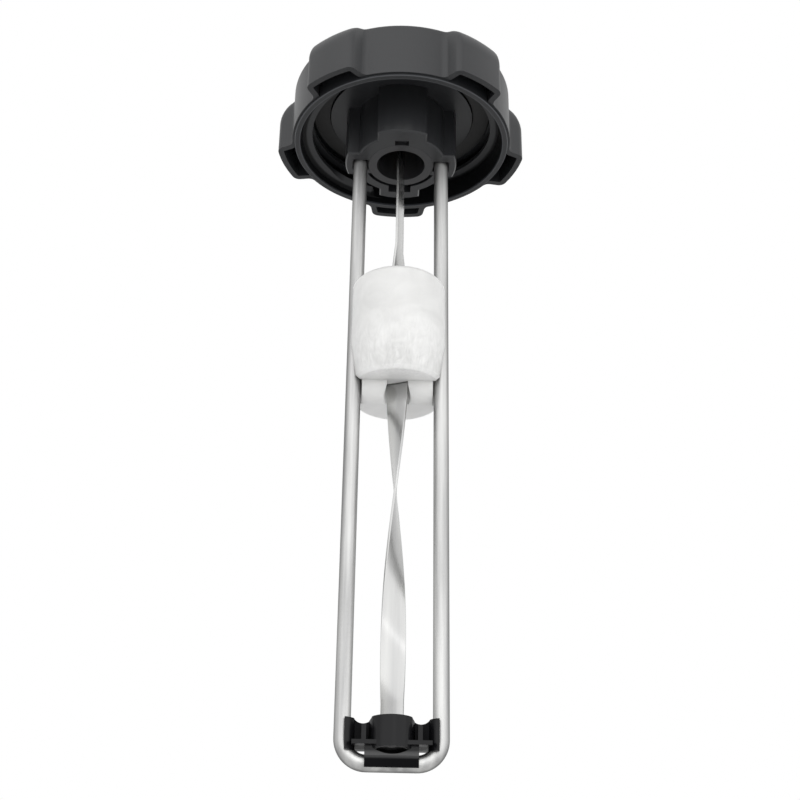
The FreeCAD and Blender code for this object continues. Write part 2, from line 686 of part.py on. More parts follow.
def make_float():
    """Moulded float: a wide front and a longer back, grooved to slide on the wires."""
    shoulder = f"{FLOAT_TOP} - float_shoulder"
    wide = "2 * float_radius"

    def half(name, bottom, radius, side):
        edge = "float_edge"
        body = turned(name, [
            ("0", bottom), (f"{radius} - {edge}", bottom), (radius, f"{bottom} + {edge}"),
            ("float_radius", f"{FLOAT_TOP} - float_straight"), ("float_radius", shoulder, "float_shoulder"),
            ("float_radius - float_shoulder", FLOAT_TOP), ("0", FLOAT_TOP)])
        y_from = f"-{wide}" if side < 0 else f"-{FLOAT_GROOVE}"
        y_to = f"-{FLOAT_GROOVE}" if side < 0 else wide
        return shared(name + "_half", body, box(
            name + "_side", f"-{wide}", wide, y_from, y_to, f"2 * {REAR_BOTTOM}", "0"))

    solid = joined("float_solid", half("float_front", FRONT_BOTTOM, "float_nose_radius", -1),
                   half("float_rear", REAR_BOTTOM, "float_rear_radius", 1))
    heel = cut("heel_corner",
               box("heel_block", f"-{wide}", wide, f"-2 * {FLOAT_GROOVE}", f"float_heel - {FLOAT_GROOVE}",
                   f"2 * {REAR_BOTTOM}", f"{REAR_BOTTOM} + float_heel"),
               bar("heel_round", "float_heel", f"2 * {wide}", f"float_heel - {FLOAT_GROOVE}",
                   f"{REAR_BOTTOM} + float_heel"))
    sides = (("left", f"-{wide}", f"-{FLOAT_WAIST}"), ("right", FLOAT_WAIST, wide))
    grooves = [box(f"{word}_groove", x_from, x_to, f"-{FLOAT_GROOVE}", FLOAT_GROOVE,
                   f"2 * {REAR_BOTTOM}", "0") for word, x_from, x_to in sides]
    way = "(ribbon_width / 2 + ribbon_clearance)"
    plate_top = f"({FRONT_BOTTOM} + slot_plate)"
    slot = strip(value("ribbon_width + 2 * slot_clearance"), value("ribbon_thickness + 2 * slot_clearance"),
                 value(f"{FRONT_BOTTOM} - slot_plate"), value(f"{plate_top} + slot_plate"),
                 ribbon_turn(-value(f"{FRONT_BOTTOM} + slot_plate / 2")))
    return cut("float_body", solid, heel, *grooves,
               cylinder("upper_way", way, f"{FLOAT_TOP} - {plate_top}", z=plate_top),
               cylinder("lower_way", way, "float_rear_length", z=f"{FRONT_BOTTOM} - float_rear_length"),
               feature("ribbon_slot", slot))


def make_foot_bracket():
    """Moulded foot: barrel with a bearing, ribbed wings on the legs, clip on the bottom wire."""
    def level(height):
        return f"({FRAME_AXIS} + {height})"

    ledge_low, ledge_high = level("ledge_height"), level("ledge_height + ledge_thickness")
    half_width = "foot_half_width"
    barrel = cylinder("barrel", "barrel_radius", "barrel_top - clip_radius", z=level("clip_radius"))
    web = box("web", f"-{half_width}", half_width, "-web_thickness / 2", "web_thickness / 2",
              ledge_low, level("web_top"))
    ledge = box("ledge", f"-{half_width}", half_width, "-ledge_reach", "ledge_reach", ledge_low, ledge_high)
    ledge_ends = joined("ledge_ends", *[
        cylinder(f"{word}_ledge_round", "foot_grip_radius", "ledge_thickness",
                 x=f"{side} * {LEG_OFFSET}", z=ledge_low) for side, word in ((-1, "left"), (1, "right"))],
        box("ledge_middle", f"-{FLOAT_WAIST}", FLOAT_WAIST, "-ledge_reach", "ledge_reach",
            ledge_low, ledge_high))
    parts = [barrel, web, shared("ledge_shaped", ledge, ledge_ends)]
    trims = []
    for side, word in ((-1, "left"), (1, "right")):
        leg = f"{side} * {LEG_OFFSET}"
        parts.append(shared(
            f"{word}_foot_grip",
            cylinder(f"{word}_grip_round", "foot_grip_radius", "foot_grip_top - foot_grip_low",
                     x=leg, z=level("foot_grip_low")),
            box(f"{word}_grip_keep", f"-{half_width}", half_width, "-foot_grip_radius", "foot_grip_radius",
                level("foot_grip_low"), level("foot_grip_top"))))
        rib = f"{side} * rib_offset"
        parts.append(box(f"{word}_rib", f"{rib} - rib_thickness / 2", f"{rib} + rib_thickness / 2",
                         "-rib_reach", "rib_reach", ledge_low, level("rib_top")))
        trims.append(crossbar(f"{word}_saddle", "saddle_radius", "2 * ledge_reach", f"{side} * saddle_offset",
                              level("web_top + saddle_radius - saddle_drop")))
    clip = doc.addObject("PartDesign::Body", "clip")
    section = outline(clip, "clip_section", "YZ_Plane", [
        ("-clip_radius", ledge_high), ("-clip_radius", level("clip_shoulder")),
        ("-clip_tip", level("(-clip_lip)")),
        ("clip_tip", level("(-clip_lip)")), ("clip_radius", level("clip_shoulder")),
        ("clip_radius", ledge_high)], "-clip_width / 2")
    padded(clip, "clip_block", section, "clip_width")
    doc.recompute()
    solid = joined("foot_solid", clip, *parts)
    scoop = shared("drain_scoop", crossbar(
        "scoop_round", "scoop_radius", "4 * clip_radius", "0",
        level("clip_radius - scoop_depth + scoop_radius")),
        box("scoop_keep", "-clip_width / 2", "clip_width / 2", "-2 * clip_radius", "2 * clip_radius",
            FRAME_AXIS, level("clip_radius")))
    return cut(
        "foot_body", solid, scoop,
        frame_wire("wire_room", f"{WIRE_RADIUS} + wire_fit", "wire_end_height"),
        cylinder("barrel_way", "barrel_bore", "barrel_top", z=BEARING_TOP),
        cylinder("bearing_hole", "pin_radius + running_fit", "2 * bearing_thickness",
                 z=f"{BEARING_TOP} - 1.5 * bearing_thickness"),
        cylinder("barrel_drain", "barrel_bore", "bearing_height - clip_radius",
                 z=level("clip_radius")), *trims)


MAKERS = {
    "cap_shell": make_cap_shell,
    "neck_gasket": make_neck_gasket,
    "gauge_head": make_gauge_head,
    "guide_tube": make_guide_tube,
    "guide_frame": lambda: frame_wire("frame_body", WIRE_RADIUS, "wire_end_height"),
    "wire_retainers": make_wire_retainers,
    "foot_bracket": make_foot_bracket,
    "spindle_bush": make_spindle_bush,
    "spindle": make_spindle,
    "twisted_ribbon": make_twisted_ribbon,
    "lower_pivot": make_lower_pivot,
    "float": make_float,
    "dial_plate": make_dial_plate,
    "pointer": make_pointer,
    "lens_seal": make_lens_seal,
    "lens": make_lens,
}

pieces = {}
for label, maker in MAKERS.items():
    piece = maker()
    piece.Label = label
    pieces[label] = piece
doc.recompute()

for item in doc.Objects:
    if {"Invalid", "Error"} & set(item.State):
        raise RuntimeError(f"{item.Name} did not build: {item.State}")
os.makedirs("parts", exist_ok=True)
for label, piece in pieces.items():
    shape = piece.Shape
    if shape.isNull() or not shape.isValid() or shape.Volume <= 0:
        raise RuntimeError(f"{label} has no valid solid")
    shape.exportStep(f"parts/{label}.step")
    corner = shape.BoundBox
    print(f"{label}: {len(shape.Solids)} solid, {shape.Volume:.1f} mm3,"
          f" x {corner.XMin:.1f} {corner.XMax:.1f} y {corner.YMin:.1f} {corner.YMax:.1f}"
          f" z {corner.ZMin:.1f} {corner.ZMax:.1f}")
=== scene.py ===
import math

import bmesh
import bpy
from bmesh.types import BMEdge, BMFace, BMVert
from mathutils import Matrix, Vector


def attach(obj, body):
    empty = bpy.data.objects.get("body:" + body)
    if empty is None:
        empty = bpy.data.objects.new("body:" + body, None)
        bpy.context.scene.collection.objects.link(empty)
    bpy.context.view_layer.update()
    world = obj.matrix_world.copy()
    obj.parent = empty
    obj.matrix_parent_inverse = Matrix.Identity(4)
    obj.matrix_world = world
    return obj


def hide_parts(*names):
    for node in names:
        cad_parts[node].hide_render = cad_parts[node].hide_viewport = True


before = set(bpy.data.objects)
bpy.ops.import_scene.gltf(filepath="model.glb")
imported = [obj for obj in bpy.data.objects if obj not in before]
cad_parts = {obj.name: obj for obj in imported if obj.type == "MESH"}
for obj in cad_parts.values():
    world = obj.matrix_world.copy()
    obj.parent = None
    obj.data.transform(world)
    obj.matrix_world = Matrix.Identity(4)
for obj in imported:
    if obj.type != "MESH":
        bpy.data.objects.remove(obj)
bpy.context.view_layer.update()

scene = bpy.context.scene
scene.view_settings.view_transform = "Standard"

# The view: the gauge hangs in white space and is seen from below its cap, a little
# to the left of it, through a lens of moderate length with nothing out of focus.
camera = bpy.data.objects.new("camera", bpy.data.cameras.new("camera"))
camera.data.sensor_width = 36
camera.data.lens = 60.75
camera.location = (-0.009018, -0.380289, -0.309430)
camera.rotation_euler = [math.radians(angle) for angle in (117.3526, -0.7550, -1.8905)]
scene.collection.objects.link(camera)
scene.camera = camera

# The studio: a white surround that lights evenly, one broad lamp over the camera's
# left shoulder, a weaker one on the right, and a pale floor far below the gauge.
WHITE = (1, 1, 1, 1)
SURROUND_LIGHT = 0.62
GAUGE_MIDDLE = (0, 0, -0.1)
FLOOR_REACH = 3.0
FLOOR_HEIGHT = -0.55


def feed(tree, node, sockets):
    """Gives each socket of a shader node a number, a colour or another node's output."""
    for socket, value in sockets.items():
        if isinstance(value, bpy.types.NodeSocket):
            tree.links.new(value, node.inputs[socket])
        else:
            node.inputs[socket].default_value = value


def add(tree, kind, sockets=None, operation=None):
    """Adds a shader node, sets what it works out, and feeds its sockets."""
    node = tree.nodes.new("ShaderNode" + kind)
    if operation:
        node.operation = operation
    feed(tree, node, sockets or {})
    return node


def worked(tree, operation, *values):
    """Works one or two values into one."""
    return add(tree, "Math", dict(enumerate(values)), operation).outputs[0]


def noise(tree, where, scale, detail=2, distortion=0):
    """A cloudy 0 to 1 value, finer as its scale grows."""
    return add(tree, "TexNoise", {"Vector": where, "Scale": scale, "Detail": detail,
                                  "Distortion": distortion}).outputs["Fac"]


def ramp(tree, source, *stops):
    """Turns a 0 to 1 value into a tone, through stops of a position and a grey or a colour."""
    made = add(tree, "ValToRGB", {"Fac": source})
    marks = [(position, (*tone, 1) if isinstance(tone, tuple) else (tone, tone, tone, 1))
             for position, tone in stops]
    elements = made.color_ramp.elements
    elements[0].position, elements[0].color = marks[0]
    elements[1].position, elements[1].color = marks[-1]
    for position, colour in marks[1:-1]:
        elements.new(position).color = colour
    return made.outputs["Color"]


def blank(name):
    """A new material, with its node tree, its shader and the piece's own coordinates."""
    material = bpy.data.materials.new(name)
    material.use_nodes = True
    tree = material.node_tree
    return material, tree, tree.nodes["Principled BSDF"], add(tree, "TexCoord").outputs["Object"]


def softbox(name, place, size, watts):
    """A square lamp that faces the middle of the gauge."""
    lamp = bpy.data.lights.new(name, "AREA")
    lamp.size = size
    lamp.energy = watts
    holder = bpy.data.objects.new(name, lamp)
    holder.location = place
    holder.rotation_euler = (Vector(GAUGE_MIDDLE) - Vector(place)).to_track_quat("-Z", "Y").to_euler()
    scene.collection.objects.link(holder)


world = bpy.data.worlds.new("studio")
scene.world = world
world.use_nodes = True
tree = world.node_tree
tree.nodes.clear()
rays = add(tree, "LightPath").outputs
seen = worked(tree, "MAXIMUM", rays["Is Camera Ray"], rays["Is Glossy Ray"])
clear = worked(tree, "MAXIMUM", seen, rays["Is Transmission Ray"])
surround = add(tree, "Background", {"Color": WHITE, "Strength": SURROUND_LIGHT}).outputs[0]
backdrop = add(tree, "Background", {"Color": WHITE, "Strength": 1.0}).outputs[0]
add(tree, "OutputWorld", {"Surface": add(tree, "MixShader", {0: clear, 1: surround, 2: backdrop}).outputs[0]})

softbox("key_lamp", (-0.32, -0.88, 0.30), 1.4, 4.4)
softbox("fill_lamp", (0.6, -0.7, -0.15), 1.2, 3.0)

sheet = bmesh.new()
bmesh.ops.create_grid(sheet, x_segments=1, y_segments=1, size=FLOOR_REACH,
                      matrix=Matrix.Translation((0, 0, FLOOR_HEIGHT)))
floor_mesh = bpy.data.meshes.new("floor")
sheet.to_mesh(floor_mesh)
sheet.free()
floor = bpy.data.objects.new("floor", floor_mesh)
scene.collection.objects.link(floor)
paper, tree, shader, where = blank("studio_paper")
feed(tree, shader, {"Base Color": ramp(tree, noise(tree, where, 60), (0.0, 0.80), (1.0, 0.84)),
                    "Roughness": 0.9})
floor_mesh.materials.append(paper)

# Cap shell: one moulding in black plastic, with a skirt, a deck, a raised crown
# round the window, five hollow finger grips and a coarse thread inside.
# It is drawn as a turned core, a lobed outer shell, and the thread's ridge.
MM = 0.001
WELD = 0.0005
SHELL_WELD = 0.001
RIM = -12.5
CEILING = 2.0
DECK = 9.0
CROWN = 10.7
BORE = 34.2
WINDOW_WELL = 21.55
WINDOW_LIP = 19.8
LIP_SEAT = 8.9
CROWN_FOOT = 25.0
DECK_REACH = 36.0
SKIRT = 37.4
GRIPS = 5
VALLEY = 38.1
CREST = 43.8
WALL = 2.0
DECK_WALL = 2.5
ROOT_HALF = 10.6
CREST_HALF = 9.3
GRIP_ROUNDING = 2.6
SKIRT_END = RIM + 0.8
SHOULDER = 0.0
GRIP_TOP = 8.5
DECK_EDGE = 1.6
POCKET_SHARE = 0.42
LEAST_SHARE = 0.04
ROUND_PARTS = 240
ARC_PARTS = 12
CORNER_PARTS = 8
QUARTER_PARTS = 10
THREAD_ROOT = 35.8
THREAD_CREST = 31.3
THREAD_FOOT = RIM + 1.0
PITCH = 6.0
TURNS = 2
SLICES = 120
THREAD_START = math.radians(63)
LEAD_IN = math.radians(80)
FIRST_TURN = LEAD_IN + 2.0


def only(kind, items):
    """Picks the vertices, the edges or the faces out of what an operator made."""
    return [item for item in items if isinstance(item, kind)]


def finish(form, name, body, material, replaced=(), smooth=35):
    """Turns a bmesh, drawn in millimetres, into a shaded piece that rides on a body."""
    bmesh.ops.scale(form, vec=(MM, MM, MM), verts=form.verts)
    mesh = bpy.data.meshes.new(name)
    form.to_mesh(mesh)
    form.free()
    mesh.materials.append(material)
    for face in mesh.polygons:
        face.use_smooth = True
    mesh.set_sharp_from_angle(angle=math.radians(smooth))
    piece = bpy.data.objects.new(name, mesh)
    scene.collection.objects.link(piece)
    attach(piece, body)
    if replaced:
        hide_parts(*replaced)
    return piece


def eased(piece, width):
    """Rounds a piece's sharp edges, as a mould or a tool leaves them."""
    rounding = piece.modifiers.new("eased_edges", "BEVEL")
    rounding.width = width * MM
    rounding.segments = 3
    rounding.limit_method = "ANGLE"
    rounding.angle_limit = math.radians(32)
    rounding.harden_normals = True


def span(tree, source, start, end, low=0.0, high=1.0):
    """Carries a value from one range to another, and holds it at both ends."""
    return add(tree, "MapRange", {"Value": source, "From Min": start, "From Max": end,
                                  "To Min": low, "To Max": high}).outputs["Result"]


def relief(tree, height, strength, distance):
    """Turns a value into the small ups and downs of a surface."""
    return add(tree, "Bump", {"Height": height, "Strength": strength, "Distance": distance}).outputs["Normal"]


def plastic(name, dark, light, roughness, grain_size, grain_depth, cloud=18, shine=0.5):
    """Moulded plastic: a slightly uneven colour and gloss over a fine even grain."""
    material, tree, shader, where = blank(name)
    clouds = noise(tree, where, cloud, 6)
    feed(tree, shader, {
        "Base Color": ramp(tree, clouds, (0.3, dark), (0.7, light)),
        "Roughness": span(tree, clouds, 0, 1, roughness - 0.05, roughness + 0.05),
        "Normal": relief(tree, noise(tree, where, 1 / (grain_size * MM), 3), grain_depth, 0.0001),
        "Specular IOR Level": shine})
    return material


def toned(tree, level):
    """Multiplies the colour that a material already has by a value."""
    shader = tree.nodes["Principled BSDF"]
    colour = shader.inputs["Base Color"].links[0].from_socket
    scaled = add(tree, "VectorMath", {0: colour, "Scale": level}, "SCALE").outputs["Vector"]
    feed(tree, shader, {"Base Color": scaled})


# Below its ceiling, the moulding's shade and sheen are set by radius: painted shade
# darkens the wall, painted glints brighten the rim's two edges, and it is even everywhere else.
EVEN = 0.2
PAINTED_WALL_SHADE = 0.05
PAINTED_RIM_GLINT = 0.9
cap_black = plastic("cap_black", (0.014, 0.015, 0.017), (0.020, 0.021, 0.023), 0.42, 0.35, 0.35)
tree = cap_black.node_tree
where = tree.nodes["Texture Coordinate"].outputs["Object"]
flat = add(tree, "Mapping", {"Vector": where, "Scale": (1, 1, 0)}).outputs["Vector"]
radius = add(tree, "VectorMath", {0: flat}, "LENGTH").outputs["Value"]
# The wall's dark band is painted shade and the rim's two bright bands are painted glints.
painted_shade_and_glints = ramp(tree, span(tree, radius, 33.0 * MM, 38.0 * MM), (0.0, EVEN), (0.12, PAINTED_WALL_SHADE), (0.46, PAINTED_WALL_SHADE),
             (0.50, PAINTED_RIM_GLINT), (0.56, EVEN), (0.80, EVEN), (0.84, PAINTED_RIM_GLINT), (0.88, EVEN), (1.0, EVEN))
height = add(tree, "SeparateXYZ", {"Vector": where}).outputs["Z"]
inside = worked(tree, "LESS_THAN", height, (CEILING - 0.1) * MM)
level = add(tree, "Mix", {"Factor": inside, "A": EVEN, "B": painted_shade_and_glints}).outputs["Result"]
toned(tree, worked(tree, "MULTIPLY", level, 1 / EVEN))
feed(tree, tree.nodes["Principled BSDF"], {"Specular IOR Level": span(tree, level, 0, EVEN, 0, 0.5)})

core = bmesh.new()
profile = [(BORE, CEILING), (WINDOW_WELL, CEILING), (WINDOW_WELL, LIP_SEAT), (WINDOW_LIP, LIP_SEAT),
           (WINDOW_LIP + 0.6, CROWN), (CROWN_FOOT - 1.2, CROWN), (CROWN_FOOT, DECK),
           (DECK_REACH, DECK - 0.3), (SKIRT - 0.2, DECK - 2.0), (SKIRT, DECK - 6.0),
           (SKIRT, RIM + 0.25), (SKIRT - 0.25, RIM), (BORE + 1.3, RIM), (BORE, RIM + 5.0)]
corners = [core.verts.new((radius, 0, height)) for radius, height in profile]
sides = [core.edges.new(pair) for pair in zip(corners, corners[1:] + corners[:1])]
bmesh.ops.spin(core, geom=corners + sides, cent=(0, 0, 0), axis=(0, 0, 1), angle=math.tau,
               steps=ROUND_PARTS, use_merge=True)
bmesh.ops.remove_doubles(core, verts=core.verts, dist=WELD)
bmesh.ops.recalc_face_normals(core, faces=core.faces)

shell = bmesh.new()


def lobes():
    """Draws the skirt's outline at its end: five grips with rounded corners and roots."""
    root = Vector((math.sqrt((VALLEY - WALL) ** 2 - ROOT_HALF ** 2), ROOT_HALF))
    tip = Vector((math.sqrt(CREST ** 2 - CREST_HALF ** 2), CREST_HALF))
    along = (tip - root).normalized()
    across = Vector((-along.y, along.x))
    offset = root.dot(across)
    near = offset - GRIP_ROUNDING
    far = offset + GRIP_ROUNDING
    corner = across * near + along * math.sqrt((CREST - GRIP_ROUNDING) ** 2 - near ** 2)
    blend = across * far + along * math.sqrt((VALLEY + GRIP_ROUNDING) ** 2 - far ** 2)
    turns = [math.atan2(point.y, point.x) for point in (corner, across, blend)]

    def run(start, centre, angle, steps):
        made = bmesh.ops.spin(shell, geom=[start], cent=(centre.x, centre.y, 0), axis=(0, 0, 1),
                              angle=angle, steps=steps)["geom_last"]
        return only(BMVert, made)[0]

    end = run(shell.verts.new((CREST, 0, SKIRT_END)), Vector((0, 0)), turns[0], ARC_PARTS)
    end = run(end, corner, turns[1] - turns[0], CORNER_PARTS)
    end = bmesh.ops.extrude_vert_indiv(shell, verts=[end])["verts"][0]
    end.co.xy = blend - across * GRIP_ROUNDING
    end = run(end, blend, turns[2] - turns[1], CORNER_PARTS)
    run(end, Vector((0, 0)), math.pi / GRIPS - turns[2], ARC_PARTS)
    half = list(shell.verts) + list(shell.edges)
    copied = bmesh.ops.duplicate(shell, geom=half)["geom"]
    bmesh.ops.scale(shell, vec=(1, -1, 1), verts=only(BMVert, copied))
    bmesh.ops.spin(shell, geom=half + copied, cent=(0, 0, 0), axis=(0, 0, 1),
                   angle=math.tau * (GRIPS - 1) / GRIPS, steps=GRIPS - 1, use_duplicate=True)
    bmesh.ops.rotate(shell, cent=(0, 0, 0), matrix=Matrix.Rotation(math.pi / 2, 3, "Z"), verts=shell.verts)
    bmesh.ops.remove_doubles(shell, verts=shell.verts, dist=SHELL_WELD)
    return list(shell.edges)


def lift(edges, height, reach=None, shrink=None, share=None):
    """Extrudes a ring of edges to a height, out to a radius, inward, or drawn in past the valleys."""
    made = bmesh.ops.extrude_edge_only(shell, edges=edges)["geom"]
    ring = only(BMVert, made)
    inward = {}
    if shrink is not None:
        for vert in ring:
            sides = [edge for edge in vert.link_edges if edge.other_vert(vert) in set(ring)]
            ahead = sides[0].other_vert(vert).co - sides[1].other_vert(vert).co
            normal = Vector((ahead.y, -ahead.x, 0)).normalized()
            inward[vert] = -normal if normal.dot(vert.co) > 0 else normal
    for vert in ring:
        vert.co.z = height
        if shrink is not None:
            vert.co.xy = (vert.co + inward[vert] * shrink).xy
        if reach is not None:
            vert.co.xy = vert.co.xy.normalized() * reach
        if share is not None:
            length = vert.co.xy.length
            base = VALLEY - WALL
            vert.co.xy = vert.co.xy * (base + (length - base) * share) / length
    return only(BMEdge, made)


outline = lobes()
ring = lift(outline, SHOULDER)
limit = VALLEY
share = 1.0
quarters = [math.sin(math.pi / 2 * step / QUARTER_PARTS) for step in range(1, QUARTER_PARTS + 1)]
rounded = ((DECK, DECK_EDGE), (GRIP_TOP, GRIP_TOP - SHOULDER))
for height in sorted({end - size * (1 - part) for end, size in rounded for part in quarters}):
    ring = lift(ring, height)
    valley = VALLEY - DECK_EDGE + math.sqrt(DECK_EDGE ** 2 - max(0.0, height - DECK + DECK_EDGE) ** 2)
    left = math.sqrt(max(LEAST_SHARE ** 2, 1 - ((height - SHOULDER) / (GRIP_TOP - SHOULDER)) ** 2))
    for vert in {vert for edge in ring for vert in edge.verts}:
        length = vert.co.xy.length
        vert.co.xy *= (valley + max(0.0, length - limit) * left / share) / length
    limit = valley
    share = left
ring = lift(ring, DECK, reach=CROWN_FOOT - 0.1)
inner = lift(outline, SKIRT_END, shrink=WALL)
inner = lift(inner, SHOULDER)
inner = lift(inner, DECK - DECK_WALL, share=POCKET_SHARE)
inner = lift(inner, DECK - DECK_WALL, reach=DECK_REACH)
bmesh.ops.bridge_loops(shell, edges=ring + inner)
bmesh.ops.remove_doubles(shell, verts=shell.verts, dist=SHELL_WELD)
bmesh.ops.recalc_face_normals(shell, faces=shell.faces)

ridge = bmesh.new()
corners = [ridge.verts.new((radius, 0, THREAD_FOOT + rise)) for radius, rise in (
    (THREAD_ROOT, 0), (THREAD_ROOT, 3.4), (THREAD_CREST, 2.5), (THREAD_CREST, 0.9))]
bmesh.ops.spin(ridge, geom=[ridge.faces.new(corners)], cent=(0, 0, 0), axis=(0, 0, 1),
               dvec=(0, 0, PITCH / SLICES), angle=math.tau * TURNS, steps=SLICES * TURNS)
for vert in ridge.verts:
    along = (vert.co.z - THREAD_FOOT) / PITCH * math.tau
    turned = math.atan2(vert.co.y, vert.co.x) % math.tau
    if along < FIRST_TURN and turned < LEAD_IN:
        height = THREAD_ROOT - vert.co.xy.length
        vert.co.xy *= (THREAD_ROOT - height * (turned / LEAD_IN) ** 2) / vert.co.xy.length
bmesh.ops.rotate(ridge, cent=(0, 0, 0), matrix=Matrix.Rotation(THREAD_START, 3, "Z"), verts=ridge.verts)
cut = bmesh.ops.bisect_plane(ridge, geom=list(ridge.verts) + list(ridge.edges) + list(ridge.faces),
                             plane_co=(0, 0, CEILING - 0.1), plane_no=(0, 0, 1), clear_outer=True)
bmesh.ops.holes_fill(ridge, edges=only(BMEdge, cut["geom_cut"]), sides=0)
bmesh.ops.recalc_face_normals(ridge, faces=ridge.faces)
for part in (shell, ridge):
    mesh = bpy.data.meshes.new("cap_part")
    part.to_mesh(mesh)
    part.free()
    core.from_mesh(mesh)
    bpy.data.meshes.remove(mesh)
eased(finish(core, "cap_moulding", "gauge_cap", cap_black, ["cap_shell"]), 0.3)

# Neck gasket: a flat black rubber ring against the cap's ceiling, stretched over
# the gauge head's flange; it seals on the tank's neck.
def dressed(node, name, body, material):
    """A merged copy of a turned or moulded solid, ready for soft edges and a finish."""
    form = bmesh.new()
    form.from_mesh(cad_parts[node].data)
    bmesh.ops.remove_doubles(form, verts=form.verts, dist=0.002 * MM)
    bmesh.ops.dissolve_limit(form, angle_limit=math.radians(1.0), verts=form.verts, edges=form.edges)
    bmesh.ops.scale(form, vec=(1 / MM, 1 / MM, 1 / MM), verts=form.verts)
    return finish(form, name, body, material, [node], 30)


rubber_black = plastic("rubber_black", (0.018, 0.018, 0.018), (0.03, 0.03, 0.03), 0.7, 0.2, 0.5, cloud=40)
eased(dressed("neck_gasket", "neck_gasket_ring", "gauge_cap", rubber_black), 0.25)

# Gauge head: black moulding with the dial cup above and a keyed stem below,
# welded under the cap's ceiling; the wire frame's legs pass through its ears.
head_black = plastic("head_black", (0.016, 0.017, 0.019), (0.022, 0.023, 0.025), 0.34, 0.4, 0.22)
eased(dressed("gauge_head", "gauge_head_moulding", "gauge_cap", head_black), 0.22)

# Guide tube: bored insert of dark plastic in the gauge head's stem; it closes the
# stem and holds the spindle's bush.
tube_grey = plastic("tube_grey", (0.018, 0.018, 0.020), (0.028, 0.028, 0.030), 0.3, 0.5, 0.15)
eased(dressed("guide_tube", "guide_tube_moulding", "gauge_cap", tube_grey), 0.25)


# Guide frame: one length of round steel wire bent to a narrow U; the float slides
# on its legs. It is drawn, then tumbled, which leaves a satin grey skin.
def metal(name, dark, light, roughness, streak=(1, 1, 1), cloud=70):
    """Bare metal with fine lines along the way it was drawn or rolled."""
    material, tree, shader, where = blank(name)
    stretched = add(tree, "Mapping", {"Vector": where, "Scale": streak}).outputs["Vector"]
    drawn = noise(tree, stretched, 900, 4)
    feed(tree, shader, {
        "Base Color": ramp(tree, noise(tree, stretched, cloud, 5), (0.3, dark), (0.7, light)),
        "Metallic": 1.0,
        "Roughness": span(tree, drawn, 0, 1, roughness - 0.06, roughness + 0.06),
        "Normal": relief(tree, drawn, 0.15, 0.00005)})
    return material


# The wire's colour is dimmed where its surface turns away, so this shade follows the view.
EDGE_SHADE = 0.2
wire_grey = metal("wire_grey", (0.36, 0.36, 0.36), (0.66, 0.66, 0.65), 0.45, (1, 1, 0.05), cloud=300)
tree = wire_grey.node_tree
toned(tree, span(tree, add(tree, "LayerWeight").outputs["Facing"], 0.3, 0.85, 1.0, EDGE_SHADE))
WIRE_SIDES = 40
WIRE = 2.4
LEG = 14.0
BEND = 6.9
BOTTOM = -226.8
WIRE_END = 3.4
LEG_PARTS = 6
BEND_PARTS = 16
wire = bmesh.new()
bmesh.ops.create_circle(wire, cap_ends=True, radius=WIRE, segments=WIRE_SIDES,
                        matrix=Matrix.Translation((-LEG, 0, WIRE_END)))
front = list(wire.faces)


def draw_wire(faces, shift=None, centre=None):
    """Carries the wire's end face on, straight by a shift or round a bend."""
    if shift is None:
        made = bmesh.ops.spin(wire, geom=faces, cent=centre, axis=(0, 1, 0), angle=-math.pi / 2,
                              steps=BEND_PARTS)["geom_last"]
    else:
        made = bmesh.ops.extrude_face_region(wire, geom=faces)["geom"]
        bmesh.ops.translate(wire, vec=shift, verts=only(BMVert, made))
    bmesh.ops.delete(wire, geom=faces, context="FACES_ONLY")
    return only(BMFace, made)


step_down = (BOTTOM + BEND - WIRE_END) / LEG_PARTS
for _ in range(LEG_PARTS):
    front = draw_wire(front, shift=(0, 0, step_down))
front = draw_wire(front, centre=(BEND - LEG, 0, BOTTOM + BEND))
front = draw_wire(front, shift=(2 * (LEG - BEND), 0, 0))
front = draw_wire(front, centre=(LEG - BEND, 0, BOTTOM + BEND))
for _ in range(LEG_PARTS):
    front = draw_wire(front, shift=(0, 0, -step_down))
bmesh.ops.remove_doubles(wire, verts=wire.verts, dist=WELD)
bmesh.ops.holes_fill(wire, edges=[edge for edge in wire.edges if edge.is_boundary], sides=0)
bmesh.ops.recalc_face_normals(wire, faces=wire.faces)
eased(finish(wire, "guide_wire", "gauge_cap", wire_grey, ["guide_frame"], 50), 0.3)

# Wire retainers: two thin spring steel push-on rings that grip the frame's ends
# inside the dial cup.
spring_grey = metal("spring_grey", (0.25, 0.25, 0.26), (0.35, 0.35, 0.36), 0.35)
eased(dressed("wire_retainers", "wire_retainer_rings", "gauge_cap", spring_grey), 0.08)

# Foot bracket: gloss black moulding snapped on the frame's lower bends, with a
# barrel for the ribbon's lower bearing and a clip round the bottom wire.
# Its sheen is set by height and depth: a painted highlight runs beside the bottom wire's
# upper half, and painted shade leaves it weakest midway between its front and back faces.
foot_black = plastic("foot_black", (0.005, 0.005, 0.006), (0.008, 0.008, 0.009), 0.28, 1.5, 0.06, shine=0.3)
tree = foot_black.node_tree
parts = add(tree, "SeparateXYZ", {"Vector": tree.nodes["Texture Coordinate"].outputs["Object"]}).outputs
# Painted shade takes the sheen out of the recess, and painted highlight bands run along the clip's shoulder.
painted_recess_shade = span(tree, worked(tree, "ABSOLUTE", parts["Y"]), 2.0 * MM, 3.4 * MM, 0.15, 1.0)
climb = span(tree, parts["Z"], -229.5 * MM, -221.5 * MM)
painted_highlight_bands = ramp(tree, climb, (0.0, 0.02), (0.42, 0.02), (0.50, 0.8), (0.64, 0.6), (0.72, 0.22), (1.0, 0.22))
feed(tree, tree.nodes["Principled BSDF"], {"Specular IOR Level": worked(tree, "MULTIPLY", painted_highlight_bands, painted_recess_shade)})
eased(dressed("foot_bracket", "foot_moulding", "gauge_cap", foot_black), 0.18)

